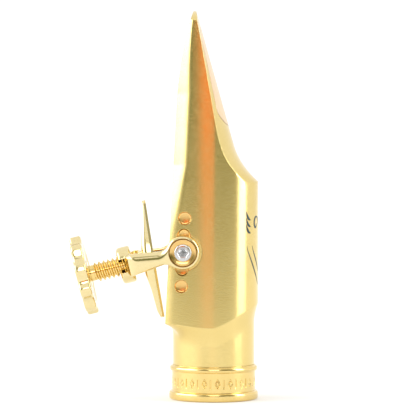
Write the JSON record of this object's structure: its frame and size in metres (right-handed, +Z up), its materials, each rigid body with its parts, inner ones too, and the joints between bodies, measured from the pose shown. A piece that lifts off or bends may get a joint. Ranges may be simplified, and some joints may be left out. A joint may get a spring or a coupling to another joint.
{
  "type": "saxophone mouthpiece ligature",
  "caption": "Metal saxophone mouthpiece with its hinged ligature: a U-shaped yoke, a lobed thumbscrew and a swivelling pressure plate that clamps the reed to the table.",
  "frame": {"origin": "centre of the neck socket's mouth, in the plane of the base face", "axes": "+Z up the shank axis to the tip, -X the reed side with the ligature, +X the back of the beak, +Y completes a right-handed frame along the pivot screws"},
  "size_m": [0.0437, 0.0248, 0.0896],
  "materials": {
    "satin_gold": "bead-blasted gold plating",
    "bright_gold": "polished gold plating",
    "peach_gold": "brushed rose-gold inlay",
    "steel": "polished stainless"
  },
  "bodies": {
    "mouthpiece": {"mouthpiece_body": "satin_gold", "shank_sleeve": "bright_gold", "bite_pad": "peach_gold", "pivot_screw_left": "steel", "pivot_screw_right": "steel", "head_washer_left": "bright_gold", "head_washer_right": "bright_gold", "seat_spacer_left": "bright_gold", "seat_spacer_right": "bright_gold"},
    "yoke": {"ligature_yoke": "bright_gold"},
    "swivel": {"swivel_block": "bright_gold"},
    "thumbscrew": {"thumb_wheel": "bright_gold", "thumbscrew_spindle": "bright_gold", "retaining_ring": "steel"},
    "plate": {"pressure_plate": "bright_gold", "reed_pad": "bright_gold", "plate_pin_left": "steel", "plate_pin_right": "steel"}
  },
  "joints": [
    {"name": "ligature_pivot", "type": "hinge", "parent": "mouthpiece", "child": "yoke", "pos_m": [-0.007, 0, 0.0342], "axis": [0, 1, 0], "range_deg": [0, 22]},
    {"name": "clamp_travel", "type": "slide", "parent": "yoke", "child": "swivel", "axis": [-0.9711, 0, -0.2385], "range_m": [0, 0.0014]},
    {"name": "thumbscrew_turn", "type": "hinge", "parent": "swivel", "child": "thumbscrew", "pos_m": [-0.007, 0, 0.0342], "axis": [-0.9711, 0, -0.2385], "range_deg": [0, 475]},
    {"name": "plate_tilt", "type": "hinge", "parent": "swivel", "child": "plate", "pos_m": [-0.01584, 0, 0.03203], "axis": [0, 1, 0], "range_deg": [0, 3]}
  ],
  "couplings": [
    {"joint": "clamp_travel", "follows": "thumbscrew_turn", "m_per_rad": 0.0001687}
  ]
}
